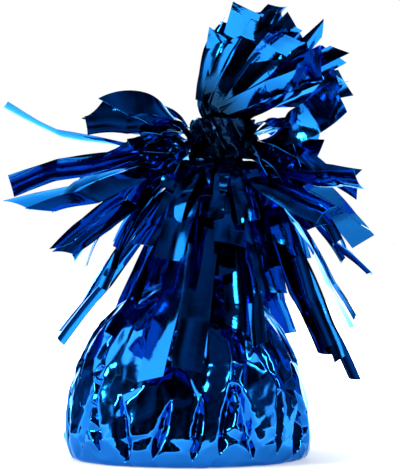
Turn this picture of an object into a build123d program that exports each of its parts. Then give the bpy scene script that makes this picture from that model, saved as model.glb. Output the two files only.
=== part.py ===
# Foil balloon weight: a cast ballast block wrapped in metallised film. The film lies in slack folds round
# the block and is gathered to a leaning neck, bound by a band, and dressed with slit film: strips that spray
# and fall from under the band, and a tuft above it.
# Millimetres and degrees. +Z is up, the origin is the middle of the flat foot, and -Y faces the viewer.
from build123d import *

import math
import os
from dataclasses import dataclass

# Driving dimensions of the film and of the fits between pieces
FILM = 0.4  # wall of the wrap; the real film is far thinner
STRIP_THICKNESS = 0.3  # thickness of a cut strip; the real film is far thinner
CLEARANCE = 0.3  # gap left between soft pieces that only rest on each other

# Driving dimensions of the wrapped base
BASE_RADIUS = 33.2  # widest part of the wrapped base
FOOT_TUCK = 1.3  # how far the film is tucked in between its widest part and the flat foot
WIDEST_HEIGHT = 7.0  # height of the widest part
DOME_HEIGHT = 48.5  # height at which the dome would close if no neck were drawn out of it
DOME_ANGLES = (0.0, 14.0, 28.0, 42.0, 54.0, 65.0, 75.0)  # rings up the dome, by angle from its widest level
PLEAT_COUNT = 16  # folds of film round the dome, gathered into the neck
PLEAT_DEPTH = 1.1  # depth of a fold where the film is gathered
FOLD_DEPTH = 1.9  # depth of a fold on the dome's flank, where the film is slack
FOOT_FOLD = 0.2  # depth of a fold at the flat foot, where the block's weight presses it out
FOLD_WANDER = 0.06  # how far a fold strays to each side as it climbs, in radians round the dome
RIDGE_UNEVEN = 0.12  # how unevenly the ridges stand, as a share of a fold's depth
VALLEY_UNEVEN = 0.2  # how unevenly the valleys are sunk, as a share of a fold's depth
BALLAST_FILL = 0.78  # height of the cast block as a share of the dome's
BALLAST_EDGE = 2.5  # rounding of the block's top edge
BALLAST_SLACK = 1.2  # room between the block and the deepest folds of the film

# Driving dimensions of the neck, and of the tie and the band that bind it
NECK_RADIUS = 6.0  # gathered film between the dome and the band
NECK_OFFSET = 9.3  # how far the neck leans to +X by the time it reaches the band
NECK_RISE = 4.0  # rise above the dome over which the film turns up into the neck
NECK_SQUEEZE = 1.0  # how much the neck is drawn in under the band
TIE_WIRE = 0.9  # soft wire that ties the neck under the band
TIE_TURNS = 2.5
TIE_GAP = 0.5  # gap between turns of the wire
BAND_BOTTOM = 79.5  # height of the band's lower edge
BAND_HEIGHT = 11.0
BAND_WAIST = 0.5  # how much the band is drawn in at its middle
BAND_FOLDS = 15
BAND_FOLD_DEPTH = 0.4
KNOT_SEAT = 1.0  # how much wider the tuft's knot is than the band's mouth

# Driving dimensions of the strips
STRIP_WIDTH = 8.0
ROOT_WIDTH = 3.4  # width of a strip where it is gathered under the band
ROOT_GAP = 1.0  # room between the neck and the innermost layer of roots
FLARE_LENGTH = 16.0  # run over which a strip opens to its full width
LAYER_STEP = 0.6  # spacing of the fringe's layers that are gathered under the band
GATHERED_LAYERS = 4  # layers of the fringe that are gathered under the band
BOUND_LAYERS = 2  # outer layers of the fringe that are bound on the band itself
BOUND_STEP = 2.2  # spacing of those outer layers up the band
STRIP_STATIONS = 8  # cross-sections lofted along each strip

# Sizes and places that follow from the driving dimensions
FOOT_RADIUS = BASE_RADIUS - FOOT_TUCK
BALLAST_HEIGHT = BALLAST_FILL * DOME_HEIGHT
BALLAST_INSET = FILM + FOLD_DEPTH + BALLAST_SLACK  # the block stands inside the deepest folds
LEAN_START = BALLAST_HEIGHT  # the film leans once it is clear of the block
NECK_CORE_RADIUS = NECK_RADIUS - NECK_SQUEEZE
BAND_BORE = NECK_CORE_RADIUS + TIE_WIRE + 1.7 * CLEARANCE
BAND_RADIUS = NECK_RADIUS + ROOT_GAP + (GATHERED_LAYERS - 1) * LAYER_STEP
BAND_TOP = BAND_BOTTOM + BAND_HEIGHT
KNOT_RADIUS = BAND_BORE + KNOT_SEAT
KNOT_HEIGHT = BAND_TOP + math.sqrt((KNOT_RADIUS + CLEARANCE) ** 2 - BAND_BORE**2)
NECK_TOP = KNOT_HEIGHT - KNOT_RADIUS - CLEARANCE
NECK_LEVEL = BAND_BOTTOM - GATHERED_LAYERS * LAYER_STEP  # where the neck stops leaning, under the roots
TIE_BOTTOM = BAND_BOTTOM + 0.23 * BAND_HEIGHT  # lower end of the tie's wire
TIE_PITCH = TIE_WIRE + TIE_GAP
SHOULDER_HEIGHT = 0.8 * DOME_HEIGHT  # where the fringe comes nearest to the dome

# What one unit of a strip's length covers sideways and upright. The fringe spans from the band to the dome's
# side and shoulder, so it follows their sizes. The tuft has nothing under it, and has one scale both ways.
FRINGE_PACE = (BASE_RADIUS / 100, (BAND_BOTTOM - SHOULDER_HEIGHT) / 125)
TUFT_PACE = (BASE_RADIUS / 100, BASE_RADIUS / 100)


@dataclass
class Strip:
    """One cut strip of film. Angles are in degrees, and the slopes are above the horizon."""

    azimuth: float  # heading about the neck: 0 is +X, 180 is -X and 270 faces the viewer
    leaves: float  # slope where the strip leaves its root
    ends: float  # slope at its tip
    length: float  # in hundredths of the base's radius
    twist: float = 0.0  # turn about its own line between root and tip
    cut: float = 12.0  # slant of the cut end
    straight: float = 0.0  # share of the length before it starts to bend
    sweep: float = 0.0  # sideways veer between root and tip
    layer: int = 0  # 0 is the outermost layer under the band


# The fringe, group by group. Each group is one slit fold of film, and its strips lift together.
FRINGE = {
    "left_spray": [
        Strip(213, 48, -24, 88, twist=-50, straight=0.2, cut=-25, layer=0),
        Strip(183, 34, -24, 84, twist=-40, cut=10, layer=0),
        Strip(155, 24, 4, 90, twist=-45, cut=25, layer=0),
        Strip(171, 4, 16, 160, twist=14, cut=-20, layer=1),
        Strip(200, -8, -10, 154, twist=48, cut=15, layer=1),
        Strip(148, 2, -28, 123, cut=20, layer=2),
        Strip(216, -6, -36, 154, twist=-25, cut=-22, layer=2),
        Strip(166, -12, -12, 154, twist=25, cut=30, layer=3),
    ],
    "left_fall": [
        Strip(194, -26, -46, 129, twist=-30, cut=-20, layer=3),
        Strip(201, -36, -68, 129, cut=8, layer=4),
        Strip(172, -42, -66, 172, twist=10, cut=10, layer=4),
        Strip(188, -46, -62, 178, twist=-14, cut=10, layer=5),
    ],
    "front_fall": [
        Strip(247, -20, -76, 114, cut=8, layer=2),
        Strip(257, -48, -72, 191, cut=10, layer=3),
        Strip(240, -55, -67, 191, twist=10, cut=-10, layer=5),
        Strip(273, -32, -74, 88, cut=12, layer=2),
        Strip(267, -48, -76, 102, cut=-14, layer=4),
        Strip(280, -62, -72, 142, cut=28, layer=5),
        Strip(296, -49, -78, 117, cut=6, layer=4),
        Strip(231, -46, -66, 166, twist=55, sweep=-16, cut=5, layer=4),
        Strip(228, -28, -62, 98, cut=5, layer=3),
    ],
    "right_fall": [
        Strip(324, -58, -76, 166, cut=6, layer=5),
        Strip(321, -49, -81, 166, twist=-10, cut=-8, layer=3),
        Strip(336, -56, -78, 191, cut=8, layer=4),
        Strip(358, -38, -56, 129, twist=10, cut=8, layer=3),
    ],
    "right_spray": [
        Strip(340, 24, 46, 100, twist=84, sweep=-40, cut=8, layer=1),
        Strip(6, -22, -6, 83, twist=35, cut=30, layer=1),
        Strip(313, -34, 14, 129, twist=-30, cut=-25, layer=1),
        Strip(300, -24, -14, 132, twist=30, cut=-18, layer=2),
        Strip(333, -36, -50, 80, twist=35, cut=12, layer=2),
        Strip(8, -24, -42, 135, twist=8, cut=10, layer=2),
    ],
    "rear_spray": [
        Strip(100, 22, -28, 129, cut=18, layer=0),
        Strip(62, 8, -24, 135, twist=25, cut=-20, layer=0),
        Strip(38, -12, -52, 148, twist=-30, cut=12, layer=1),
        Strip(122, -6, -48, 154, twist=-28, cut=15, layer=1),
    ],
    "rear_fall": [
        Strip(28, -40, -76, 166, twist=20, cut=10, layer=3),
        Strip(74, -38, -74, 178, twist=-20, cut=-12, layer=3),
        Strip(120, -38, -72, 172, twist=16, cut=14, layer=3),
        Strip(10, -56, -76, 160, cut=-14, layer=4),
        Strip(52, -57, -78, 154, twist=14, cut=10, layer=4),
        Strip(98, -54, -70, 178, twist=-10, cut=8, layer=4),
        Strip(140, -48, -64, 160, cut=-10, layer=4),
    ],
}

# The tuft: each strip's own lean from upright towards +X, and the strip about that leaning line
TUFT = [
    (22, Strip(253, 84, 80, 71, twist=8, cut=-6, layer=0)),
    (38, Strip(280, 80, 76, 68, twist=6, cut=16, layer=0)),
    (48, Strip(309, 78, 73, 77, twist=-10, cut=-30, layer=0)),
    (65, Strip(341, 83, 82, 77, twist=4, cut=14, layer=1)),
    (30, Strip(232, 78, 82, 58, twist=18, cut=12, layer=1)),
    (44, Strip(268, 82, 84, 68, twist=8, cut=-16, layer=1)),
    (59, Strip(303, 86, 84, 80, twist=-6, cut=24, layer=1)),
    (24, Strip(200, 86, 84, 52, twist=-40, cut=8, layer=0)),
    (58, Strip(22, 76, 72, 83, twist=60, cut=-14, layer=1)),
    (26, Strip(130, 82, 80, 58, twist=20, cut=-10, layer=0)),
    (44, Strip(92, 80, 82, 80, twist=60, cut=12, layer=0)),
    (54, Strip(56, 78, 76, 77, twist=-25, cut=-16, layer=0)),
    (36, Strip(170, 84, 86, 68, twist=45, cut=10, layer=2)),
]
TUFT_ROOT_ANGLES = (78.0, 48.0, 20.0)  # how far from a strip's leaning line each layer is rooted


def smooth(share):
    """Eases from 0 to 1 as share goes from 0 to 1."""
    share = min(1.0, max(0.0, share))
    return share * share * (3 - 2 * share)


def neck_shift(height):
    """Sideways shift of the gathered film at a height, growing evenly above the start of the lean."""
    share = (height - LEAN_START) / (NECK_LEVEL - LEAN_START)
    return NECK_OFFSET * min(1.0, max(0.0, share))


def route(strip, root, pace):
    """Points along a strip from its root, with the direction, the width direction and the run at each."""
    spans = STRIP_STATIONS - 1
    place = Vector(root)
    run = 0.0
    stations = []
    for index in range(STRIP_STATIONS):
        along, across = heading(strip, index / spans, pace)
        stations.append((place, along.normalized(), across, run))
        midway, _ = heading(strip, (index + 0.5) / spans, pace)
        step = midway * (strip.length / spans)
        place = place + step
        run = run + step.length
    return stations


def heading(strip, share, pace):
    """Advance for one unit of length, and the width direction, at a share of a strip's length."""
    bent = max(0.0, (share - strip.straight) / (1 - strip.straight))
    slope = math.radians(strip.leaves + (strip.ends - strip.leaves) * bent)
    turn = math.radians(strip.azimuth + strip.sweep * share)
    twist = math.radians(strip.twist * smooth(1.6 * share))
    sideways, upright = pace
    forward = sideways * math.cos(slope)
    along = Vector(forward * math.cos(turn), forward * math.sin(turn), upright * math.sin(slope))
    level = Vector(-math.sin(turn), math.cos(turn), 0)
    across = level * math.cos(twist) + along.normalized().cross(level) * math.sin(twist)
    return along, across


def fringe_root(strip):
    """Root of a fringe strip: on the band for the outer layers, then stepping in and down under its edge."""
    under = strip.layer - BOUND_LAYERS
    if under < 0:
        radius = BAND_RADIUS + CLEARANCE
        height = BAND_BOTTOM - under * BOUND_STEP
    else:
        radius = BAND_RADIUS - under * LAYER_STEP
        height = BAND_BOTTOM - 2 * CLEARANCE - under * LAYER_STEP
    turn = math.radians(strip.azimuth)
    return (NECK_OFFSET + radius * math.cos(turn), radius * math.sin(turn), height)


def tuft_root(strip):
    """Root of a tuft strip on the knot, in that strip's own leaning frame."""
    angle = math.radians(TUFT_ROOT_ANGLES[strip.layer])
    turn = math.radians(strip.azimuth)
    reach = KNOT_RADIUS + CLEARANCE
    return (
        reach * math.sin(angle) * math.cos(turn),
        reach * math.sin(angle) * math.sin(turn),
        reach * math.cos(angle),
    )


def strip_solid(strip, root, pace, frame):
    """A thin strip lofted along its route, opening from its gathered root to a slanted cut end."""
    slant = math.radians(strip.cut)
    with BuildPart() as made:
        for index, (place, along, across, run) in enumerate(route(strip, root, pace)):
            width = ROOT_WIDTH + (STRIP_WIDTH - ROOT_WIDTH) * smooth(run / FLARE_LENGTH)
            if index == STRIP_STATIONS - 1:
                along, across = (
                    along * math.cos(slant) - across * math.sin(slant),
                    across * math.cos(slant) + along * math.sin(slant),
                )
                width = width / math.cos(slant)
            section = Plane(origin=place, x_dir=across, z_dir=along)
            with BuildSketch(Plane(frame * section.location)):
                Rectangle(width, STRIP_THICKNESS)
        loft(ruled=True)
    return made.part


def pleated_ring(radius, depth, folds, shift, level):
    """Corners of a ring of folds: ridges and valleys in turn, as uneven as crumpled film is.

    The level counts the rings from the lowest, so that a fold strays and deepens on its way up.
    """
    corners = []
    for index in range(2 * folds):
        turn = math.pi * index / folds + FOLD_WANDER * math.sin(1.9 * index + 0.8 * level)
        uneven = math.sin(2.3 * index + 1.1 * level)
        drawn_in = 1 - VALLEY_UNEVEN * (1 + uneven) if index % 2 else RIDGE_UNEVEN * (1 + uneven)
        reach = radius - depth * drawn_in
        corners.append((shift + reach * math.cos(turn), reach * math.sin(turn)))
    return corners


def pleated_solid(rings, folds):
    """A closed body lofted through rings of (radius, height, fold depth, sideways shift)."""
    with BuildPart() as made:
        for level, (radius, height, depth, shift) in enumerate(rings):
            with BuildSketch(Plane.XY.offset(height)):
                with BuildLine():
                    Polyline(*pleated_ring(radius, depth, folds, shift, level), close=True)
                make_face()
        loft(ruled=True)
    return made.part


def dome_rings(inset):
    """Rings of the wrapped base from its foot to the start of the neck, drawn in all round by inset."""
    rings = [(FOOT_RADIUS - inset, inset, FOOT_FOLD, 0.0)]
    for angle in DOME_ANGLES:
        turn = math.radians(angle)
        radius = (BASE_RADIUS - inset) * math.cos(turn)
        height = WIDEST_HEIGHT + (DOME_HEIGHT - inset - WIDEST_HEIGHT) * math.sin(turn)
        depth = FOLD_DEPTH + (PLEAT_DEPTH - FOLD_DEPTH) * smooth(math.sin(turn))
        rings.append((radius, height, depth, neck_shift(height)))
    return rings


# Foil wrap: one sheet of film round the block, drawn up into the leaning neck
neck_rings = [
    (NECK_RADIUS * 1.05, DOME_HEIGHT + NECK_RISE, PLEAT_DEPTH, neck_shift(DOME_HEIGHT + NECK_RISE)),
    (NECK_RADIUS, NECK_LEVEL, PLEAT_DEPTH, NECK_OFFSET),
    (NECK_CORE_RADIUS, BAND_BOTTOM + 1.5 * NECK_SQUEEZE, 0.5 * PLEAT_DEPTH, NECK_OFFSET),
    (NECK_CORE_RADIUS, NECK_TOP, 0.5 * PLEAT_DEPTH, NECK_OFFSET),
]
outer_film = pleated_solid(dome_rings(0.0) + neck_rings, PLEAT_COUNT)
inner_space = pleated_solid(dome_rings(FILM), PLEAT_COUNT)
with BuildPart() as foil_wrap:
    add(outer_film)
    add(inner_space, mode=Mode.SUBTRACT)
foil_wrap.part.label = "foil_wrap"

# Ballast block: a cast dome with a flat top, standing on the wrap's floor
block_radius = BASE_RADIUS - BALLAST_INSET
block_rise = DOME_HEIGHT - BALLAST_INSET - WIDEST_HEIGHT
top_angle = math.asin((BALLAST_HEIGHT - WIDEST_HEIGHT) / block_rise)
flank_points = []
for share in (0.0, 0.35, 0.7, 1.0):
    turn = top_angle * share
    flank_points.append((block_radius * math.cos(turn), WIDEST_HEIGHT + block_rise * math.sin(turn)))
top_slope = (-block_radius * math.sin(top_angle), block_rise * math.cos(top_angle))
with BuildPart() as ballast_block:
    with BuildSketch(Plane.XZ):
        with BuildLine():
            Spline(*flank_points, tangents=[(0, 1), top_slope])
            Polyline(
                flank_points[-1],
                (0, BALLAST_HEIGHT),
                (0, FILM),
                (FOOT_RADIUS - BALLAST_INSET, FILM),
                flank_points[0],
            )
        make_face()
    revolve(axis=Axis.Z)
    fillet(ballast_block.edges().filter_by(GeomType.CIRCLE).sort_by(Axis.Z)[-1], BALLAST_EDGE)
ballast_block.part.label = "ballast_block"

# Neck tie: soft wire wound round the gathered film, hidden by the band
with BuildPart() as neck_tie:
    with BuildLine(Plane((NECK_OFFSET, 0, TIE_BOTTOM))) as winding:
        Helix(TIE_PITCH, TIE_PITCH * TIE_TURNS, NECK_CORE_RADIUS + CLEARANCE + TIE_WIRE / 2)
    with BuildSketch(Plane(origin=winding.line @ 0, z_dir=winding.line % 0)):
        Circle(TIE_WIRE / 2)
    sweep(is_frenet=True)
neck_tie.part.label = "neck_tie"

# Neck band: film bunched and wound tight round the neck, with the tuft's knot seated in its mouth
band_rings = [
    (BAND_RADIUS, BAND_BOTTOM, BAND_FOLD_DEPTH, NECK_OFFSET),
    (BAND_RADIUS - BAND_WAIST, BAND_BOTTOM + BAND_HEIGHT / 2, BAND_FOLD_DEPTH, NECK_OFFSET),
    (BAND_RADIUS, BAND_TOP, BAND_FOLD_DEPTH, NECK_OFFSET),
]
with BuildPart() as neck_band:
    add(pleated_solid(band_rings, BAND_FOLDS))
    with Locations((NECK_OFFSET, 0, BAND_BOTTOM)):
        Cylinder(
            BAND_BORE,
            BAND_HEIGHT,
            align=(Align.CENTER, Align.CENTER, Align.MIN),
            mode=Mode.SUBTRACT,
        )
neck_band.part.label = "neck_band"

# Tuft knot: the bunched tail of the film, round so that it turns in the band's mouth
with BuildPart(Plane((NECK_OFFSET, 0, KNOT_HEIGHT))) as tuft_knot:
    Sphere(KNOT_RADIUS)
tuft_knot.part.label = "tuft_knot"

pieces = [foil_wrap.part, ballast_block.part, neck_tie.part, neck_band.part, tuft_knot.part]

# Fringe strips, numbered within each group
for group, strips in FRINGE.items():
    for number, strip in enumerate(strips, 1):
        piece = strip_solid(strip, fringe_root(strip), FRINGE_PACE, Location())
        piece.label = f"{group}_{number}"
        pieces.append(piece)

# Tuft strips, each in its own leaning frame at the middle of the knot
for number, (lean, strip) in enumerate(TUFT, 1):
    leaning = Location((NECK_OFFSET, 0, KNOT_HEIGHT), (0, lean, 0))
    piece = strip_solid(strip, tuft_root(strip), TUFT_PACE, leaning)
    piece.label = f"tuft_strip_{number}"
    pieces.append(piece)

os.makedirs("parts", exist_ok=True)
for piece in pieces:
    export_step(piece, f"parts/{piece.label}.step")
print(len(pieces), "pieces written")
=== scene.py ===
# %% [markdown]
# # A foil balloon weight
# A cast block is wrapped in one sheet of blue metallised film. The film is crumpled over the block,
# gathered to a leaning neck, bound by a band, and dressed with a fringe and a tuft of cut strips.
# This lesson loads the solid model of the weight as a frame and dresses each piece of it: the
# crumpled wrap, the band, the bunched knot, and the strips. Everything is in metres, in the frame's
# own coordinates, so each piece goes where its solid is.

# %% Load the frame
import math
from dataclasses import dataclass

import bpy
import numpy as np
from mathutils import Matrix, Vector
from mathutils.geometry import delaunay_2d_cdt


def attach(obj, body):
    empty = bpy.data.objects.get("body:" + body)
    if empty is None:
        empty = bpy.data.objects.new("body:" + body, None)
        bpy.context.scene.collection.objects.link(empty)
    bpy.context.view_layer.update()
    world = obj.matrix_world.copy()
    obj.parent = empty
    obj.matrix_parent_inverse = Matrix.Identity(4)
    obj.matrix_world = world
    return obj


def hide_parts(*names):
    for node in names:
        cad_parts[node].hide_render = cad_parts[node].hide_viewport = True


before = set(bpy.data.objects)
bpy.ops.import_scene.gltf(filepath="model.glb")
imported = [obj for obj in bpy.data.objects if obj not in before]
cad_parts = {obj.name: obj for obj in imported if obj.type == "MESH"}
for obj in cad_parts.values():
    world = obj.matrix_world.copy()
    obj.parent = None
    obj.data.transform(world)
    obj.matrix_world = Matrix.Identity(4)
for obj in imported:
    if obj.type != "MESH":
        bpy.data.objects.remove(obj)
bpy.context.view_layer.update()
MM = 0.001

# %% [markdown]
# ## Writing nodes as sums
# Both shaders and Geometry Nodes are trees of nodes. Adding each Math node by hand buries the idea,
# so one class wraps an output socket and lets Python's own operators add the Math nodes. One method
# adds every other kind of node: its settings are set first, because they can change which sockets
# it has, and then its values or links. The nodes that are used again and again get a short method
# of their own, which calls that one.


# %% A socket that can be used in sums
class Wire:
    """An output socket that adds a Math node when it is used in a sum."""

    def __init__(self, tree, socket):
        self.tree = tree
        self.socket = socket

    def math(self, operation, *others):
        values = dict(enumerate((self, *others)))
        return self.tree.node("ShaderNodeMath", {"operation": operation}, values)[0]

    def reflected(self, operation, other):
        return self.tree.node("ShaderNodeMath", {"operation": operation}, {0: other, 1: self})[0]

    def __add__(self, other):
        return self.math("ADD", other)

    def __sub__(self, other):
        return self.math("SUBTRACT", other)

    def __rsub__(self, other):
        return self.reflected("SUBTRACT", other)

    def __mul__(self, other):
        return self.math("MULTIPLY", other)

    def __truediv__(self, other):
        return self.math("DIVIDE", other)

    def __rtruediv__(self, other):
        return self.reflected("DIVIDE", other)

    __radd__ = __add__
    __rmul__ = __mul__


class Outputs:
    """The outputs of a node that was just added, by name or by number."""

    def __init__(self, tree, made):
        self.tree = tree
        self.made = made

    def __getitem__(self, key):
        return Wire(self.tree, find_socket(self.made.outputs, key))


def find_socket(sockets, key):
    """A socket by its place, or by its identifier, or else by its name."""
    if isinstance(key, int):
        return sockets[key]
    for socket in sockets:
        if socket.identifier == key and socket.enabled:
            return socket
    return next(socket for socket in sockets if socket.name == key and socket.enabled)


# %% A tree that takes any node
class Tree:
    """A node tree, with the one method that adds any node to it."""

    def __init__(self, tree):
        self.tree = tree
        tree.nodes.clear()

    def node(self, kind, settings=None, values=None):
        made = self.tree.nodes.new(kind)
        for name, value in (settings or {}).items():
            setattr(made, name, value)
        for key, value in (values or {}).items():
            socket = find_socket(made.inputs, key)
            if isinstance(value, Wire):
                self.tree.links.new(value.socket, socket)
            else:
                socket.default_value = value
        return Outputs(self, made)

    def vector(self, operation, *parts, scale=None):
        values = dict(enumerate(parts))
        if scale is not None:
            values["Scale"] = scale
        return self.node("ShaderNodeVectorMath", {"operation": operation}, values)["Vector"]

    def point(self, x, y, z):
        return self.node("ShaderNodeCombineXYZ", None, {"X": x, "Y": y, "Z": z})["Vector"]

    def mix(self, factor, first, second):
        values = {"Factor_Float": factor, "A_Color": first, "B_Color": second}
        return self.node("ShaderNodeMix", {"data_type": "RGBA"}, values)["Result_Color"]

    def eased(self, value, start, end, low=0.0, high=1.0):
        values = {"Value": value, "From Min": start, "From Max": end, "To Min": low, "To Max": high}
        return self.node("ShaderNodeMapRange", {"interpolation_type": "SMOOTHSTEP"}, values)["Result"]

    def noise(self, place, scale, detail):
        values = {"Vector": place, "Scale": scale, "Detail": detail}
        return self.node("ShaderNodeTexNoise", None, values)

    def creases(self, place, scale):
        values = {"Vector": place, "Scale": scale}
        return self.node("ShaderNodeTexVoronoi", {"feature": "DISTANCE_TO_EDGE"}, values)["Distance"]

    def bump(self, strength, distance, height):
        values = {"Strength": strength, "Distance": distance, "Height": height}
        return self.node("ShaderNodeBump", None, values)["Normal"]


# %% The start and the end of every material
def new_finish(name):
    """A new material, its empty tree and its Object coordinates."""
    material = bpy.data.materials.new(name)
    material.use_nodes = True
    tree = Tree(material.node_tree)
    return material, tree, tree.node("ShaderNodeTexCoord")["Object"]


def end_finish(tree, values):
    """Ends a material's tree with the shader that takes the values."""
    shader = tree.node("ShaderNodeBsdfPrincipled", None, values)["BSDF"]
    tree.node("ShaderNodeOutputMaterial", None, {"Surface": shader})


print("nodes can now be written as sums")

# %% [markdown]
# ## Metallised film
# The real film is bright metal under a clear blue lacquer. Where it reflects something white it
# looks light blue, where it reflects the dark side of the room it looks navy, and a strong lamp
# shows white on the clear skin. So the shader is a metal with a blue tint and a clear coat.
# Crumpling scuffs the lacquer, so the creases are paler and a little duller than the flats. The
# finest crinkles are only a bump, since a mesh would need far more faces.


# %% Film for the wrap, the band and the knot
EDGE_TINT = (0.30, 0.65, 1.0, 1)  # the lacquer still tints what is reflected at a glancing angle
COAT_ROUGHNESS = 0.04
CREASE_SWAY = 0.5  # share of the crease size by which a crease wanders
SCUFF_WIDTH = 0.06  # of a crease, as a share of the crease size
SCUFF_SHARE = 0.1  # of a scuff in the colour and in the bump
CLOUD_SCALE = 90.0
CLOUD_SHARE = 0.4  # of the lacquer's clouds in the colour
FINE_SHARE = 0.9
FINE_DEPTH = 0.6 * MM


def film(name, deep, pale, crease_size, fine_size, bump, dullness, coat):
    """Crumpled film: a tinted mirror whose creases are paler and duller."""
    material, tree, place = new_finish(name)
    wander = tree.noise(place, 0.6 / crease_size, 2.0)["Color"]
    bent = tree.vector("ADD", place, tree.vector("SCALE", wander, scale=CREASE_SWAY * crease_size))
    scuff = tree.eased(tree.creases(bent, 1 / crease_size), 0.0, SCUFF_WIDTH, 1.0, 0.0)
    cloud = tree.noise(place, CLOUD_SCALE, 3.0)["Fac"]
    fine = tree.noise(bent, 1 / fine_size, 3.0)["Fac"]
    clouded = tree.eased(cloud, 0.3, 0.7) * CLOUD_SHARE
    values = {
        "Base Color": tree.mix(clouded + scuff * SCUFF_SHARE, deep, pale),
        "Metallic": 1.0,
        "Roughness": dullness + scuff * 0.05 + cloud * 0.06,
        "Specular Tint": EDGE_TINT,
        "Coat Weight": coat,
        "Coat Roughness": COAT_ROUGHNESS,
        "Normal": tree.bump(bump, FINE_DEPTH, scuff * SCUFF_SHARE + fine * FINE_SHARE),
    }
    end_finish(tree, values)
    return material


wrap_film = film(
    "wrap_film",
    deep=(0.002, 0.115, 0.43, 1),
    pale=(0.006, 0.15, 0.52, 1),
    crease_size=7 * MM,
    fine_size=2.2 * MM,
    bump=0.05,
    dullness=0.04,
    coat=0.14,
)
# painted shade: the band's and the knot's film is coloured near black
band_film = film(
    "band_film",
    deep=(0.0006, 0.007, 0.022, 1),
    pale=(0.0016, 0.02, 0.065, 1),
    crease_size=3 * MM,
    fine_size=0.8 * MM,
    bump=0.25,
    dullness=0.10,
    coat=0.03,
)
print("film for the wrap and for the band")

# %% [markdown]
# ## Film for the strips
# The strips are the same film, but slit. A blade leaves a pale line along each cut edge, and the
# film keeps faint creases across it from being folded. Each strip's mesh will carry where a point
# is along it and across it, so those marks follow the strip wherever it bends, which Object
# coordinates could not do. Near the bunched roots the colour is darkened almost to black, a
# painted shade.


# %% Film for the cut strips
CUT_LINE = (0.90, 0.985)  # shares of the half width between which the blade's pale line comes up
ROOT_SHADE_RUN = (0.05, 0.55)  # shares of the length between which the painted shade at the root fades out
CREASES_ALONG = 26.0  # the creases run across a strip, so the pattern is squeezed along it
CREASES_ACROSS = 0.9
STRIPS_APART = 90.0  # sets each strip's pattern apart from the others
STRIP_DULLNESS = 0.04
STRIP_COAT = 0.06


def cut_film(name, deep, pale, bunched_painted_shade):
    """Slit film: reads the attributes run, side and tone that each strip's mesh carries."""
    material, tree, place = new_finish(name)

    def carried(label):
        return tree.node("ShaderNodeAttribute", {"attribute_name": label})["Fac"]

    run, side, tone = (carried(label) for label in ("run", "side", "tone"))
    edge = tree.eased(side.math("ABSOLUTE"), *CUT_LINE)
    cloud = tree.noise(place, 130.0, 2.0)["Fac"]
    across = tree.point(run * CREASES_ALONG, side * CREASES_ACROSS, tone * STRIPS_APART)
    scuff = tree.eased(tree.creases(across, 0.55), 0.0, 0.05, 1.0, 0.0)
    ripple = tree.noise(across, 1.4, 2.0)["Fac"]
    colour = tree.mix(edge * 0.2 + cloud * 0.5 + scuff * SCUFF_SHARE, deep, pale)
    values = {
        # painted shade: towards each strip's root the colour is mixed down to near black
        "Base Color": tree.mix(tree.eased(run, *ROOT_SHADE_RUN), bunched_painted_shade, colour),
        "Metallic": 1.0,
        "Roughness": STRIP_DULLNESS + cloud * 0.08 + edge * 0.04,
        "Specular Tint": EDGE_TINT,
        "Coat Weight": STRIP_COAT,
        "Coat Roughness": COAT_ROUGHNESS,
        "Normal": tree.bump(0.04, 0.8 * MM, ripple * 0.8 + scuff * SCUFF_SHARE),
    }
    end_finish(tree, values)
    return material


strip_film = cut_film(
    "strip_film",
    deep=(0.002, 0.10, 0.34, 1),
    pale=(0.008, 0.14, 0.43, 1),
    # a near-black colour, the painted shade at the strips' roots
    bunched_painted_shade=(0.001, 0.015, 0.04, 1),
)
print("film for the strips")

# %% [markdown]
# ## Growing a piece with Geometry Nodes
# Each tree below gets named inputs for its sizes. A modifier's inputs are set by identifier before
# the object is first evaluated. The result is then copied to a plain mesh and the modifier taken
# off, so that the finished piece is ordinary geometry at the origin, with nothing left to evaluate.


# %% A tree with named inputs, and a piece grown by it
SHARP_EDGE = math.radians(50)  # film with a thickness keeps its cut edges sharp


def geometry_tree(name, inputs):
    """A Geometry Nodes tree with named inputs: the tree, its input node and the inputs' identifiers."""
    group = bpy.data.node_groups.new(name, "GeometryNodeTree")
    group.interface.new_socket("Geometry", in_out="INPUT", socket_type="NodeSocketGeometry")
    group.interface.new_socket("Geometry", in_out="OUTPUT", socket_type="NodeSocketGeometry")
    identifiers = {}
    for label, kind in inputs.items():
        socket = group.interface.new_socket(label, in_out="INPUT", socket_type="NodeSocket" + kind)
        identifiers[label] = socket.identifier
    tree = Tree(group)
    return tree, tree.node("NodeGroupInput"), identifiers


def finish_tree(tree, geometry, material):
    """Ends a tree with smooth shading, real geometry and its material."""
    geometry = tree.node("GeometryNodeSetShadeSmooth", None, {"Geometry": geometry})["Geometry"]
    geometry = tree.node("GeometryNodeRealizeInstances", None, {"Geometry": geometry})["Geometry"]
    values = {"Geometry": geometry, "Material": material}
    geometry = tree.node("GeometryNodeSetMaterial", None, values)["Geometry"]
    tree.node("NodeGroupOutput", None, {"Geometry": geometry})


def grown(name, mesh, tree, identifiers, values, film_thickness=None, kept_share=None):
    """An object whose plain mesh is what the tree makes of a start mesh, walled or thinned if asked."""
    piece = bpy.data.objects.new(name, mesh)
    bpy.context.scene.collection.objects.link(piece)
    modifier = piece.modifiers.new("grow", "NODES")
    modifier.node_group = tree.tree
    for label, value in values.items():
        modifier[identifiers[label]] = value
    if film_thickness:
        wall = piece.modifiers.new("film", "SOLIDIFY")
        wall.thickness = film_thickness
        wall.offset = 0.0
    if kept_share:
        thinned = piece.modifiers.new("thin", "DECIMATE")
        thinned.ratio = kept_share
    depsgraph = bpy.context.evaluated_depsgraph_get()
    made = bpy.data.meshes.new_from_object(
        piece.evaluated_get(depsgraph), preserve_all_data_layers=True, depsgraph=depsgraph
    )
    piece.modifiers.clear()
    piece.data = made
    made.name = name
    if film_thickness:
        made.set_sharp_from_angle(angle=SHARP_EDGE)
    print(name, len(made.vertices), "points")
    return piece


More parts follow.
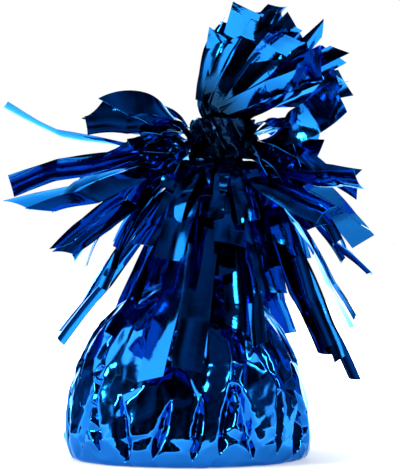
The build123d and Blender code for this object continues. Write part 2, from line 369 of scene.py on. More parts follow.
# %% [markdown]
# ## Crumpling
# Crumpled foil is made of flats that meet in sharp creases. The distance to the nearest of many
# scattered points has just that shape: it rises evenly from each point, and creases where two
# points are equally near. Blender's Voronoi texture gives that distance. The tree lays two sizes of
# it on a surface, stretched upright because the film is drawn up to the neck, and adds a finer one.
# A brush or a cloth simulation could crumple the film too, but would be slower, and harder to steer
# towards a few large facets.


# %% The tree that crumples a film surface
FOOT_EASE = 2.5 * MM  # height over which the crumple comes in above a flat foot
CALM_EASE = 12 * MM  # height over which it calms down towards the neck
CRUMPLE_SWAY = 0.9  # share of the fold size by which the pattern is bent
CRUMPLES = (
    # the size and the slope, the way distance is measured, and its usual value
    ("Fold Size", "Fold Slope", "EUCLIDEAN", 0.75),
    ("Crease Size", "Crease Slope", "MANHATTAN", 0.6),
    ("Fine Size", "Fine Slope", "EUCLIDEAN", 0.5),
)


def crumple_tree():
    tree, given, identifiers = geometry_tree(
        "crumple film",
        {
            "Cuts": "Int",
            "Soften": "Int",
            "Fold Size": "Float",
            "Fold Slope": "Float",
            "Crease Size": "Float",
            "Crease Slope": "Float",
            "Fine Size": "Float",
            "Fine Slope": "Float",
            "Stretch": "Float",
            "Flat Below": "Float",
            "Calm Above": "Float",
            "Calm Share": "Float",
            "Seed": "Float",
            "Material": "Material",
        },
    )
    place = tree.node("GeometryNodeInputPosition")["Position"]
    normal = tree.node("GeometryNodeInputNormal")["Normal"]
    height = tree.node("ShaderNodeSeparateXYZ", None, {"Vector": place})["Z"]
    upright = tree.point(1.0, 1.0, 1 / given["Stretch"])
    shift = tree.point(given["Seed"], given["Seed"] * 1.7, 0.0)
    drawn = tree.vector("ADD", tree.vector("MULTIPLY", place, upright), shift)
    warp = tree.noise(drawn, 0.5 / given["Fold Size"], 1.0)["Color"]
    sway = tree.vector("SUBTRACT", warp, (0.5, 0.5, 0.5))
    drawn = tree.vector("ADD", drawn, tree.vector("SCALE", sway, scale=given["Fold Size"] * CRUMPLE_SWAY))
    rise = 0.0
    for size, slope, metric, middle in CRUMPLES:
        settings = {"feature": "F1", "distance": metric}
        values = {"Vector": drawn, "Scale": 1 / given[size]}
        cells = tree.node("ShaderNodeTexVoronoi", settings, values)["Distance"]
        rise = rise + (cells - middle) * given[size] * given[slope]
    foot = tree.eased(height, given["Flat Below"], given["Flat Below"] + FOOT_EASE)
    calm_from = given["Calm Above"]
    calm = tree.eased(height, calm_from, calm_from + CALM_EASE, 1.0, given["Calm Share"])
    offset = tree.vector("SCALE", normal, scale=rise * foot * calm)
    values = {"Mesh": given["Geometry"], "Level": given["Cuts"]}
    finer = tree.node("GeometryNodeSubdivideMesh", None, values)["Mesh"]
    values = {"Value": place, "Iterations": given["Soften"]}
    soft = tree.node("GeometryNodeBlurAttribute", {"data_type": "FLOAT_VECTOR"}, values)["Value"]
    finer = tree.node("GeometryNodeSetPosition", None, {"Geometry": finer, "Position": soft})["Geometry"]
    moved = tree.node("GeometryNodeSetPosition", None, {"Geometry": finer, "Offset": offset})["Geometry"]
    finish_tree(tree, moved, given["Material"])
    return tree, identifiers


crumple, crumple_inputs = crumple_tree()
print("crumple tree:", len(crumple.tree.nodes), "nodes")

# %% [markdown]
# ## The wrap
# The wrap is one sheet of film round a cast dome, with a flat foot whose edge turns under, drawn up
# to a neck that leans to the right. A flat sheet can only narrow by folding, so folds run up it, as
# they do on the solid. Film doesn't stretch either, so between the folds it is made of flats that
# meet in creases. Points on the folds and on slanting dents, joined into triangles, give such
# flats, and a little smoothing rounds the creases. Each dent is lens-shaped with a raised rim, and
# none is so deep that it meets the block. A displaced smooth surface would look like liquid
# instead.

# %% Sizes of the wrapped base
BASE_RADIUS = 33.2 * MM
FOOT_RADIUS = 31.9 * MM
WIDEST_HEIGHT = 7.0 * MM
DOME_HEIGHT = 48.5 * MM
DOME_ANGLES = (0.0, 14.0, 28.0, 42.0, 54.0, 65.0, 75.0)
PLEAT_COUNT = 16
PLEAT_DEPTH = 1.1 * MM
FOLD_DEPTH = 1.9 * MM
FOOT_FOLD = 0.2 * MM
FOLD_WANDER = 0.06
RIDGE_UNEVEN = 0.12
VALLEY_UNEVEN = 0.2
FOOT_TURN = 0.9 * MM  # the film's edge turns under at the foot
BLOCK_RADIUS = 29.7 * MM
BLOCK_RISE = 38.0 * MM
BLOCK_ROOM = 0.7 * MM
LEAN_START = 37.83 * MM
NECK_RADIUS = 6.0 * MM
NECK_CORE_RADIUS = 5.0 * MM
NECK_OFFSET = 9.3 * MM
NECK_RISE = 4.0 * MM
NECK_LEVEL = 77.1 * MM
NECK_TOP = 87.08 * MM
BAND_BOTTOM = 79.5 * MM
BAND_TOP = 90.5 * MM
BAND_RADIUS = 8.8 * MM
BAND_BORE = 6.4 * MM
KNOT_RADIUS = 7.4 * MM
KNOT_HEIGHT = 94.78 * MM
CLEARANCE = 0.3 * MM


def smooth(share):
    """Eases from 0 to 1 as share goes from 0 to 1."""
    share = np.clip(share, 0.0, 1.0)
    return share * share * (3 - 2 * share)


def neck_shift(height):
    """Sideways shift of the gathered film at a height."""
    return NECK_OFFSET * float(np.clip((height - LEAN_START) / (NECK_LEVEL - LEAN_START), 0.0, 1.0))


# %% The folds that run up the wrap
NECK_FLARE = 1.05  # the neck is a little wider where it leaves the dome
CORE_RISE = 1.5 * MM  # this far inside the band the neck is down to its core
CORE_PLEATS = 0.5


def wrap_levels():
    """Rings of the solid's folds, from the foot to the top of the neck: (radius, height, fold depth)."""
    levels = [(FOOT_RADIUS, 0.0, FOOT_FOLD)]
    for angle in DOME_ANGLES:
        turn = math.radians(angle)
        radius = BASE_RADIUS * math.cos(turn)
        height = WIDEST_HEIGHT + (DOME_HEIGHT - WIDEST_HEIGHT) * math.sin(turn)
        depth = FOLD_DEPTH + (PLEAT_DEPTH - FOLD_DEPTH) * float(smooth(math.sin(turn)))
        levels.append((radius, height, depth))
    neck_start = DOME_HEIGHT + NECK_RISE
    return levels + [
        (NECK_RADIUS * NECK_FLARE, neck_start, PLEAT_DEPTH),
        (NECK_RADIUS, 0.5 * (neck_start + NECK_LEVEL), PLEAT_DEPTH),
        (NECK_RADIUS, NECK_LEVEL, PLEAT_DEPTH),
        (NECK_CORE_RADIUS, BAND_BOTTOM + CORE_RISE, CORE_PLEATS * PLEAT_DEPTH),
        (NECK_CORE_RADIUS, NECK_TOP, CORE_PLEATS * PLEAT_DEPTH),
    ]


def fold_corner(index, level):
    """A ridge or a valley of the film at a level: its turn, and how far it is drawn in, as a share."""
    turn = math.pi * index / PLEAT_COUNT + FOLD_WANDER * math.sin(1.9 * index + 0.8 * level)
    uneven = 1 + math.sin(2.3 * index + 1.1 * level)
    if index % 2:
        return turn, 1 - VALLEY_UNEVEN * uneven
    return turn, RIDGE_UNEVEN * uneven


# %% Where the folded film stands
LEVELS = wrap_levels()
CORNERS = 2 * PLEAT_COUNT
LEVEL_STEPS = [math.dist(low[:2], high[:2]) for low, high in zip(LEVELS, LEVELS[1:])]
CLIMBS = np.concatenate([[0.0], np.cumsum(LEVEL_STEPS)])  # the way up the film to each level


def folded_film(turn, climb):
    """Reach and height of the folded film at a turn and a climb up it."""
    level = int(np.clip(np.searchsorted(CLIMBS, climb) - 1, 0, len(LEVELS) - 2))
    share = (climb - CLIMBS[level]) / (CLIMBS[level + 1] - CLIMBS[level])
    reaches = []
    for ring in (level, level + 1):
        radius, _, depth = LEVELS[ring]
        turns, drawn_in = np.array([fold_corner(index, ring) for index in range(CORNERS)]).T
        reaches.append(radius - depth * float(np.interp(turn, turns, drawn_in, period=2 * math.pi)))
    height = LEVELS[level][1] + share * (LEVELS[level + 1][1] - LEVELS[level][1])
    return reaches[0] + share * (reaches[1] - reaches[0]), height


print("folded film:", len(LEVELS), "levels of", CORNERS, "corners")


# %% Dents pressed into the slack film
def lens(share):
    """How far a dent is open at a share of its length: pointed at both ends, widest below its middle."""
    return math.sin(math.pi * share**0.8) ** 0.7


RIM_RISE = 0.35  # the slack film stands proud beside a dent, by this share of its depth
RIM_SHARES = (0.15, 0.38, 0.62, 0.85)
DENT_LINE = [(share, lens(share), 0.0) for share in np.linspace(0, 1, 9)]
DENT_RIM = [(share, -RIM_RISE, way * lens(share)) for share in RIM_SHARES for way in (1, -1)]
DENT_ROWS = (
    # how many, and the least and the most in mm of their start, rise, lean, depth and half width
    (24, (0.8, 3.2), (13.0, 24.0), (2.5, 7.0), (1.5, 2.4), (1.6, 2.5)),
    (16, (20.0, 26.0), (11.0, 18.0), (2.0, 6.0), (0.9, 1.6), (1.9, 2.9)),
    (12, (32.0, 40.0), (8.0, 13.0), (1.0, 4.0), (0.5, 0.9), (1.6, 2.6)),
)
DENT_SCATTER = 0.15  # share of the space between dents by which one is out of place


def dents(seed=5):
    """Slanting dents as turn and climb of both ends, depth and half width."""
    chance = np.random.default_rng(seed)
    made = []
    for count, low, rise, lean, depth, half_width in DENT_ROWS:
        for index in range(count):
            turn = 2 * math.pi * (index + chance.uniform(-DENT_SCATTER, DENT_SCATTER)) / count
            start = chance.uniform(*low) * MM
            end = start + chance.uniform(*rise) * MM
            veer = chance.uniform(*lean) * MM / folded_film(turn, end)[0]
            way = math.copysign(1, math.cos(turn))
            if index % 3 == 2:
                way = -way
            sunk = chance.uniform(*depth) * MM
            opened = chance.uniform(*half_width) * MM
            made.append((turn, start, turn + way * veer, end, sunk, opened))
    return made


def block_reach(height):
    """Reach of the cast block at a height, which no dent may pass."""
    if height > LEAN_START:
        return 0.0
    if height < WIDEST_HEIGHT:
        return BLOCK_RADIUS - (BASE_RADIUS - FOOT_RADIUS) * (1 - height / WIDEST_HEIGHT)
    return BLOCK_RADIUS * math.sqrt(1 - ((height - WIDEST_HEIGHT) / BLOCK_RISE) ** 2)


print("dents:", sum(row[0] for row in DENT_ROWS))

# %% All the points of the film
FIRST_RING = 3  # below this level only the ridges and the dents shape the film
FOOT_BULGE = 0.2 * FOOT_TURN  # the film stands out a little above its turned edge
LOWEST_DENT = 1.8 * FOOT_TURN


def wrap_points():
    """Points as (turn, climb, reach, height), pairs of them along the folds, and the top ring's start."""
    points, folds = [], []
    for climb, radius in ((0.0, FOOT_RADIUS - FOOT_TURN), (FOOT_TURN, FOOT_RADIUS + FOOT_BULGE)):
        for index in range(CORNERS):
            turn, drawn_in = fold_corner(index, 0)
            points.append((turn, climb, radius - FOOT_FOLD * drawn_in, climb))
    for index in range(0, CORNERS, 2):
        turn, drawn_in = fold_corner(index, 1)
        points.append((turn, CLIMBS[1], LEVELS[1][0] - LEVELS[1][2] * drawn_in, LEVELS[1][1]))
    for level in range(FIRST_RING, len(LEVELS)):
        radius, height, depth = LEVELS[level]
        for index in range(CORNERS):
            turn, drawn_in = fold_corner(index, level)
            points.append((turn, CLIMBS[level], radius - depth * drawn_in, height))
            if level > FIRST_RING:
                folds.append((len(points) - 1 - CORNERS, len(points) - 1))
    top = len(points) - CORNERS
    for turn_low, climb_low, turn_high, climb_high, depth, half_width in dents():
        middle_reach = folded_film(turn_low, 0.5 * (climb_low + climb_high))[0]
        across = (turn_high - turn_low) * middle_reach
        length = math.hypot(across, climb_high - climb_low)
        for share, sink, aside in DENT_LINE + DENT_RIM:
            turn = turn_low + share * (turn_high - turn_low)
            turn += aside * half_width * (climb_high - climb_low) / length / middle_reach
            climb = climb_low + share * (climb_high - climb_low) - aside * half_width * across / length
            climb = max(climb, LOWEST_DENT)
            reach, height = folded_film(turn, climb)
            reach = max(reach - sink * depth, block_reach(height) + BLOCK_ROOM)
            points.append((turn % (2 * math.pi), climb, reach, height))
    return points, folds, top


# %% The points joined into flats
SHEET_MARGIN = 0.8  # radians that are laid out a second time at each end of the sheet
FOLD_REACH = 8 * MM  # a fold leans less than this from one level to the next
SAME_POINT = 1e-7


def joined_flats(points, folds):
    """Triangles between the points, closed all round, from the sheet laid out flat."""
    flat, source, place = [], [], {}
    for shift in (0, -1, 1):
        for number, (turn, climb, _, _) in enumerate(points):
            around = turn % (2 * math.pi) + shift * 2 * math.pi
            if -SHEET_MARGIN < around < 2 * math.pi + SHEET_MARGIN:
                place[number, shift] = len(flat)
                flat.append(Vector((around * BASE_RADIUS, climb)))
                source.append(number)
    kept = []
    for low, high in folds:
        for shift in (0, -1, 1):
            for other in (shift, shift - 1, shift + 1):
                ends = place.get((low, shift)), place.get((high, other))
                if None not in ends and abs(flat[ends[0]].x - flat[ends[1]].x) < FOLD_REACH:
                    kept.append(ends)
    laid, _, triangles, origins, _, _ = delaunay_2d_cdt(flat, kept, [], 0, SAME_POINT)
    faces = []
    for triangle in triangles:
        middle = sum(laid[corner].x for corner in triangle) / (3 * BASE_RADIUS)
        if 0 <= middle < 2 * math.pi:
            faces.append([source[origins[corner][0]] for corner in triangle])
    return faces


def wrap_mesh():
    """The wrap as flats of film, closed by a flat foot and by a cap in the neck's top."""
    points, folds, top = wrap_points()
    faces = joined_flats(points, folds)
    places = []
    for turn, _, reach, height in points:
        places.append((neck_shift(height) + reach * math.cos(turn), reach * math.sin(turn), height))
    places.append((0.0, 0.0, 0.0))
    places.append((NECK_OFFSET, 0.0, NECK_TOP))
    for index in range(CORNERS):
        following = (index + 1) % CORNERS
        faces.append((following, index, len(places) - 2))
        faces.append((top + index, top + following, len(places) - 1))
    mesh = bpy.data.meshes.new("wrap flats")
    mesh.from_pydata(places, [], faces)
    mesh.validate()
    return mesh


wrap_values = {
    "Cuts": 3,
    "Soften": 2,
    "Fold Size": 15 * MM,
    "Fold Slope": 0.0,
    "Crease Size": 7 * MM,
    "Crease Slope": 0.05,
    "Fine Size": 2.6 * MM,
    "Fine Slope": 0.05,
    "Stretch": 1.6,
    "Flat Below": 0.05 * MM,
    "Calm Above": 44 * MM,
    "Calm Share": 0.35,
    "Seed": 0.31,
    "Material": wrap_film,
}
WRAP_KEPT = 0.75  # the flats need fewer points than the creases
wrap = grown("foil_wrap_film", wrap_mesh(), crumple, crumple_inputs, wrap_values, kept_share=WRAP_KEPT)
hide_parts("foil_wrap")
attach(wrap, "base")

# %% [markdown]
# ## The band and the knot
# The band is film bunched and wound tight round the neck, so it shows many small folds, and its
# film is coloured almost black, a painted shade. The knot is the bunched tail that the tuft grows
# from, and shares that film. Both start as pleated rings and go through the same crumple tree as the
# wrap, with smaller sizes.

# %% Pleated rings, and a mesh through them
FOLD_LIMIT = 0.3  # no fold is deeper than this share of its ring's radius


def pleated(radius, heights, folds, depth, phase=0.0, lean=0.0, around=220):
    """Rings of uneven folds at the given radii and heights; lean winds the folds round, per metre."""
    turn = np.linspace(0, 2 * math.pi, around, endpoint=False)
    rings = []
    for reach, height in zip(radius, heights):
        wound = turn + lean * (height - heights[0])
        uneven = wound + 0.12 * np.sin(2 * wound + 0.4 + phase) + 0.07 * np.sin(5 * wound + 1.3)
        fold = np.abs(((uneven * folds / (2 * math.pi)) % 1) * 2 - 1)
        out = reach - min(depth, FOLD_LIMIT * reach) * fold
        ring = [NECK_OFFSET + out * np.cos(turn), out * np.sin(turn), np.full(around, height)]
        rings.append(np.stack(ring, axis=1))
    return rings


def ring_mesh(name, rings, closed_loop):
    """A mesh through rings of equal count, capped at both ends or joined into a loop."""
    count, around = len(rings), len(rings[0])
    points = np.concatenate(rings)
    index = np.arange(count * around).reshape(count, around)
    lower = index if closed_loop else index[:-1]
    upper = np.roll(index, -1, axis=0) if closed_loop else index[1:]
    faces = np.stack([lower, np.roll(lower, -1, axis=1), np.roll(upper, -1, axis=1), upper], axis=-1)
    faces = faces.reshape(-1, 4).tolist()
    if not closed_loop:
        faces.append(index[0][::-1].tolist())
        faces.append(index[-1].tolist())
    mesh = bpy.data.meshes.new(name)
    mesh.from_pydata(points.tolist(), [], faces)
    mesh.validate()
    return mesh


# %% The band
FILM_ROOM = 0.1 * MM  # between the film that is seen and the solid that it stands for
BAND_BULGE = 0.5 * MM
BAND_LIP = 0.2 * MM
BAND_FOLDS = 9
BAND_FOLD_DEPTH = 2.0 * MM
BAND_WINDING = 70.0
BAND_RINGS = (26, 10)  # outside, and in the mouth


def band_rings():
    """Rings round the band's section: up its bulging outside, over the lip, and down the mouth."""
    share = np.linspace(0, 1, BAND_RINGS[0])
    outside = BAND_RADIUS + FILM_ROOM + BAND_BULGE * np.sin(share * math.pi)
    heights = BAND_BOTTOM + (BAND_TOP - BAND_BOTTOM) * share
    inside = np.full(BAND_RINGS[1], BAND_BORE + FILM_ROOM)
    down = np.linspace(BAND_TOP - BAND_LIP, BAND_BOTTOM + BAND_LIP, BAND_RINGS[1])
    outer = pleated(outside, heights, BAND_FOLDS, BAND_FOLD_DEPTH, lean=BAND_WINDING)
    return outer + pleated(inside, down, BAND_FOLDS, 0.0)


band_values = {
    "Cuts": 0,
    "Soften": 0,
    "Fold Size": 5 * MM,
    "Fold Slope": 0.24,
    "Crease Size": 3 * MM,
    "Crease Slope": 0.14,
    "Fine Size": 1.5 * MM,
    "Fine Slope": 0.04,
    "Stretch": 1.4,
    "Flat Below": 0.0,
    "Calm Above": 0.2,
    "Calm Share": 1.0,
    "Seed": 0.83,
    "Material": band_film,
}
band_start = ring_mesh("band start", band_rings(), closed_loop=True)
band = grown("neck_band_film", band_start, crumple, crumple_inputs, band_values)
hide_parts("neck_band")
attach(band, "base")

# %% The knot
KNOT_FOLDS = 17
KNOT_FOLD_DEPTH = 1.1 * MM
KNOT_RINGS = 56
POLE = 88.0  # the rings stop just short of the ball's lowest and highest points


def knot_rings():
    """Rings up a ball of bunched film, from its lowest point to its highest."""
    turns = np.radians(np.linspace(-POLE, POLE, KNOT_RINGS))
    ball = KNOT_RADIUS - FILM_ROOM
    radius = ball * np.cos(turns)
    heights = KNOT_HEIGHT + ball * np.sin(turns)
    return pleated(radius, heights, KNOT_FOLDS, KNOT_FOLD_DEPTH, phase=1.1, around=160)


# the knot takes the band's film, with its painted shade
knot_values = dict(band_values, Seed=0.47)
knot_start = ring_mesh("knot start", knot_rings(), closed_loop=False)
knot = grown("tuft_knot_film", knot_start, crumple, crumple_inputs, knot_values)
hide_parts("tuft_knot")
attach(knot, "tuft")

# %% [markdown]
# ## The strips' plan
# Each strip is laid out by a few numbers: where it leaves the band, how steeply it leaves and ends,
# how long it is, and how it twists. The plan repeats the one that the solid model was made from, so
# every strip lies where its solid does. Lengths are in hundredths of the base's radius.


# %% One line for each strip
@dataclass
class Strip:
    """One cut strip of film. Angles are in degrees, and the slopes are above the horizon."""

    azimuth: float
    leaves: float  # slope at the root
    ends: float  # slope at the cut end
    length: float
    twist: float = 0.0
    cut: float = 12.0  # slant of the cut end
    straight: float = 0.0  # share of the length before the slope starts to change
    sweep: float = 0.0  # change of the azimuth along the strip
    layer: int = 0
    width: float = 8.0  # in mm
    crease: float = 1.0  # 0 leaves a strip flat, with no cup and no turned end


FRINGE = {
    "left_spray": [
        Strip(213, 48, -24, 88, twist=-50, straight=0.2, cut=-25, layer=0),
        Strip(183, 34, -24, 84, twist=-40, cut=10, layer=0),
        Strip(155, 24, 4, 90, twist=-45, cut=25, layer=0),
        Strip(171, 4, 16, 160, twist=14, cut=-20, layer=1),
        Strip(200, -8, -10, 154, twist=48, cut=15, layer=1),
        Strip(148, 2, -28, 123, cut=20, layer=2),
        Strip(216, -6, -36, 154, twist=-25, cut=-22, layer=2),
        Strip(166, -12, -12, 154, twist=25, cut=30, layer=3),
    ],
    "left_fall": [
        Strip(194, -26, -46, 129, twist=-30, cut=-20, layer=3),
        Strip(201, -36, -68, 129, cut=8, layer=4),
        Strip(172, -42, -66, 172, twist=10, cut=10, layer=4),
        Strip(188, -46, -62, 178, twist=-14, cut=10, layer=5),
    ],
    "front_fall": [
        Strip(247, -20, -76, 114, cut=8, layer=2),
        Strip(257, -48, -72, 191, cut=10, layer=3),
        Strip(240, -55, -67, 191, twist=10, cut=-10, layer=5, crease=0.0),
        Strip(273, -32, -74, 88, cut=12, layer=2),
        Strip(267, -48, -76, 102, cut=-14, layer=4),
        Strip(280, -62, -72, 142, cut=28, layer=5),
        Strip(296, -49, -78, 117, cut=6, layer=4),
        Strip(231, -46, -66, 166, twist=55, sweep=-16, cut=5, layer=4),
        Strip(228, -28, -62, 98, cut=5, layer=3),
    ],
    "right_fall": [
        Strip(324, -58, -76, 166, cut=6, layer=5),
        Strip(321, -49, -81, 166, twist=-10, cut=-8, layer=3),
        Strip(336, -56, -78, 191, cut=8, layer=4),
        Strip(358, -38, -56, 129, twist=10, cut=8, layer=3),
    ],
    "right_spray": [
        Strip(340, 24, 46, 100, twist=84, sweep=-40, cut=8, layer=1, crease=0.0),
        Strip(6, -22, -6, 83, twist=35, cut=30, layer=1),
        Strip(313, -34, 14, 129, twist=-30, cut=-25, layer=1),
        Strip(300, -24, -14, 132, twist=30, cut=-18, layer=2),
        Strip(333, -36, -50, 80, twist=35, cut=12, layer=2),
        Strip(8, -24, -42, 135, twist=8, cut=10, layer=2),
    ],
    "rear_spray": [
        Strip(100, 22, -28, 129, cut=18, layer=0),
        Strip(62, 8, -24, 135, twist=25, cut=-20, layer=0),
        Strip(38, -12, -52, 148, twist=-30, cut=12, layer=1),
        Strip(122, -6, -48, 154, twist=-28, cut=15, layer=1),
    ],
    "rear_fall": [
        Strip(28, -40, -76, 166, twist=20, cut=10, layer=3),
        Strip(74, -38, -74, 178, twist=-20, cut=-12, layer=3),
        Strip(120, -38, -72, 172, twist=16, cut=14, layer=3),
        Strip(10, -56, -76, 160, cut=-14, layer=4),
        Strip(52, -57, -78, 154, twist=14, cut=10, layer=4),
        Strip(98, -54, -70, 178, twist=-10, cut=8, layer=4),
        Strip(140, -48, -64, 160, cut=-10, layer=4),
    ],
}

TUFT = [
    (22, Strip(253, 84, 80, 71, twist=8, cut=-6, layer=0)),
    (38, Strip(280, 80, 76, 68, twist=6, cut=16, layer=0)),
    (48, Strip(309, 78, 73, 77, twist=-10, cut=-30, layer=0)),
    (65, Strip(341, 83, 82, 77, twist=4, cut=14, layer=1)),
    (30, Strip(232, 78, 82, 58, twist=18, cut=12, layer=1)),
    (44, Strip(268, 82, 84, 68, twist=8, cut=-16, layer=1)),
    (59, Strip(303, 86, 84, 80, twist=-6, cut=24, layer=1)),
    (24, Strip(200, 86, 84, 52, twist=-40, cut=8, layer=0)),
    (58, Strip(22, 76, 72, 83, twist=60, cut=-14, layer=1)),
    (26, Strip(130, 82, 80, 58, twist=20, cut=-10, layer=0)),
    (44, Strip(92, 80, 82, 80, twist=60, cut=12, layer=0)),
    (54, Strip(56, 78, 76, 77, twist=-25, cut=-16, layer=0)),
    (36, Strip(170, 84, 86, 68, twist=45, cut=10, layer=2)),
]
TUFT_ROOT_ANGLES = (78.0, 48.0, 20.0, 108.0)  # of each layer, from the knot's top in the strip's frame

# %% [markdown]
# ## The strips between
# The solid model holds the strips that stand out. The real fringe has more of them, narrower and
# shorter, packed between those and round the band, so that no light comes through near it. They
# have no solids of their own, and ride with the group that they grow from. A fringe layer below 0
# is rooted higher up the band. Layer 3 of the tuft is rooted low on the knot, so that its strips
# hide the knot.

# %% Strips that fill the fringe and the tuft
BETWEEN = {
    "left": [
        Strip(186, 4, -36, 122, twist=-14, cut=10, layer=2),
        Strip(192, -14, -50, 46, twist=10, cut=-12, layer=1, width=7.0),
        Strip(226, -34, -62, 46, twist=12, cut=14, layer=-1, width=7.0),
        Strip(210, -20, -56, 50, twist=-16, cut=-14, layer=0, width=7.0),
        Strip(194, 4, -8, 56, twist=-70, cut=14, layer=1, width=7.0),
        Strip(182, 6, 0, 52, twist=66, cut=-12, layer=1, width=6.5),
        Strip(188, 8, -20, 42, twist=-10, cut=14, layer=0, width=7.0),
        Strip(176, 22, -16, 38, twist=12, cut=-14, layer=0, width=7.0),
        Strip(202, 16, -30, 42, twist=-12, cut=12, layer=-1, width=7.0),
        Strip(179, -8, -44, 42, twist=-14, cut=14, layer=1, width=7.0),
        Strip(166, -20, -56, 50, twist=12, cut=-10, layer=1, width=7.0),
        Strip(206, -22, -60, 48, twist=-10, cut=12, layer=1, width=7.0),
        Strip(196, -8, -86, 124, twist=18, cut=4, layer=3, width=4.8),
        Strip(206, -16, -86, 116, cut=-6, layer=4, width=4.2),
        Strip(208, -12, -50, 138, twist=-20, cut=-35, layer=3, width=5.6),
        Strip(177, -20, -58, 126, twist=14, cut=-20, layer=3, width=4.6),
        Strip(160, 16, -40, 102, twist=40, cut=15, layer=1, width=5.0),
        Strip(192, 18, -52, 74, twist=-30, cut=18, layer=0, width=6.5),
        Strip(178, -2, -66, 84, twist=30, cut=-12, layer=1, width=6.0),
        Strip(212, -2, -70, 76, twist=-18, cut=14, layer=1, width=6.0),
        Strip(165, -26, -74, 96, twist=20, cut=-16, layer=3, width=5.0),
        Strip(200, 56, -30, 46, twist=-40, cut=-20, layer=-1, width=6.0),
        Strip(176, 50, -44, 42, twist=30, cut=15, layer=-1, width=6.0),
        Strip(152, 40, -50, 50, twist=-20, cut=-10, layer=-1, width=6.0),
        Strip(186, 62, 0, 34, twist=20, cut=25, layer=-2, width=5.5),
        Strip(196, 2, -6, 48, twist=140, cut=12, layer=1, width=7.5),
        Strip(208, -4, -20, 44, twist=-130, cut=-14, layer=0, width=7.5),
    ],
    "front": [
        Strip(262, -14, -84, 66, twist=8, cut=10, layer=2, width=6.5),
        Strip(284, -10, -82, 74, twist=-12, cut=-14, layer=2, width=6.5),
        Strip(243, -6, -80, 78, twist=14, cut=12, layer=2, width=6.0),
        Strip(234, -20, -82, 92, twist=-16, cut=-10, layer=2, width=6.0),
        Strip(302, -18, -84, 92, twist=10, cut=14, layer=2, width=5.5),
        Strip(252, -52, -78, 150, twist=-12, cut=24, layer=4, width=4.0),
        Strip(288, -56, -76, 158, twist=14, cut=-20, layer=4, width=4.0),
        Strip(252, 4, -80, 48, twist=14, cut=-14, layer=2, width=6.0),
        Strip(274, 2, -82, 46, twist=-16, cut=16, layer=2, width=6.0),
        Strip(298, 6, -76, 48, twist=18, cut=-12, layer=2, width=6.0),
        Strip(230, 8, -70, 50, twist=-24, cut=12, layer=2, width=6.0),
    ],
    "right": [
        Strip(320, 8, 34, 104, twist=108, cut=8, layer=0, width=9.0),
        Strip(350, -14, -50, 46, twist=10, cut=-12, layer=1, width=7.0),
        Strip(310, -34, -62, 46, twist=-12, cut=-14, layer=-1, width=7.0),
        Strip(326, -20, -56, 50, twist=16, cut=14, layer=0, width=7.0),
        Strip(346, 4, -10, 52, twist=70, cut=12, layer=1, width=7.0),
        Strip(358, 6, 2, 48, twist=-66, cut=-16, layer=1, width=6.5),
        Strip(346, 12, -24, 40, twist=-10, cut=16, layer=0, width=7.0),
        Strip(332, 28, 0, 40, twist=14, cut=-14, layer=-1, width=7.0),
        Strip(0, 22, -12, 40, twist=-12, cut=12, layer=-1, width=7.0),
        Strip(4, -10, -46, 44, twist=-14, cut=14, layer=1, width=7.0),
        Strip(338, -20, -58, 50, twist=12, cut=-10, layer=1, width=7.0),
        Strip(322, -24, -62, 46, twist=-10, cut=12, layer=1, width=7.0),
        Strip(346, -18, -72, 96, twist=20, cut=-14, layer=3, width=6.0),
        Strip(318, -30, -84, 90, twist=-14, cut=10, layer=4, width=6.0),
        Strip(352, -6, -44, 88, twist=-28, cut=18, layer=1, width=6.0),
        Strip(328, 4, -48, 70, twist=18, cut=-14, layer=0, width=6.5),
        Strip(310, -8, -64, 80, twist=-20, cut=20, layer=1, width=6.0),
        Strip(2, -30, -70, 108, twist=24, cut=-12, layer=3, width=5.0),
        Strip(344, -44, -70, 150, twist=-30, cut=16, layer=4, width=3.6),
        Strip(330, -50, -74, 176, twist=40, cut=-20, layer=5, width=3.6),
        Strip(336, 46, -34, 44, twist=-24, cut=14, layer=-1, width=6.0),
        Strip(8, 42, -30, 48, twist=22, cut=-18, layer=-1, width=6.0),
        Strip(314, 52, -40, 42, twist=16, cut=12, layer=-1, width=6.0),
        Strip(344, 0, -8, 46, twist=-140, cut=12, layer=1, width=7.5),
        Strip(332, -4, -20, 42, twist=130, cut=-14, layer=0, width=7.5),
    ],
    "rear": [
        Strip(86, 2, -72, 108, twist=20, cut=12, layer=1, width=6.5),
        Strip(110, -16, -78, 116, twist=-18, cut=-14, layer=2, width=6.5),
        Strip(50, -18, -76, 116, twist=16, cut=10, layer=2, width=6.5),
        Strip(130, -22, -70, 124, twist=-24, cut=18, layer=2, width=6.0),
        Strip(24, -14, -66, 116, twist=20, cut=-16, layer=2, width=6.0),
        Strip(70, -10, -60, 120, twist=-30, cut=20, layer=2, width=5.5),
        Strip(62, -52, -76, 170, twist=30, cut=-10, layer=4, width=4.2),
        Strip(86, -50, -72, 182, twist=-20, cut=14, layer=4, width=4.2),
        Strip(112, -52, -70, 176, twist=24, cut=-12, layer=5, width=4.2),
        Strip(128, 44, -30, 46, twist=20, cut=-12, layer=-1, width=6.0),
        Strip(100, 40, -52, 46, twist=-18, cut=14, layer=-1, width=6.0),
        Strip(72, 46, -44, 46, twist=20, cut=-16, layer=-1, width=6.0),
        Strip(44, 40, -40, 48, twist=-24, cut=12, layer=-1, width=6.0),
    ],
}
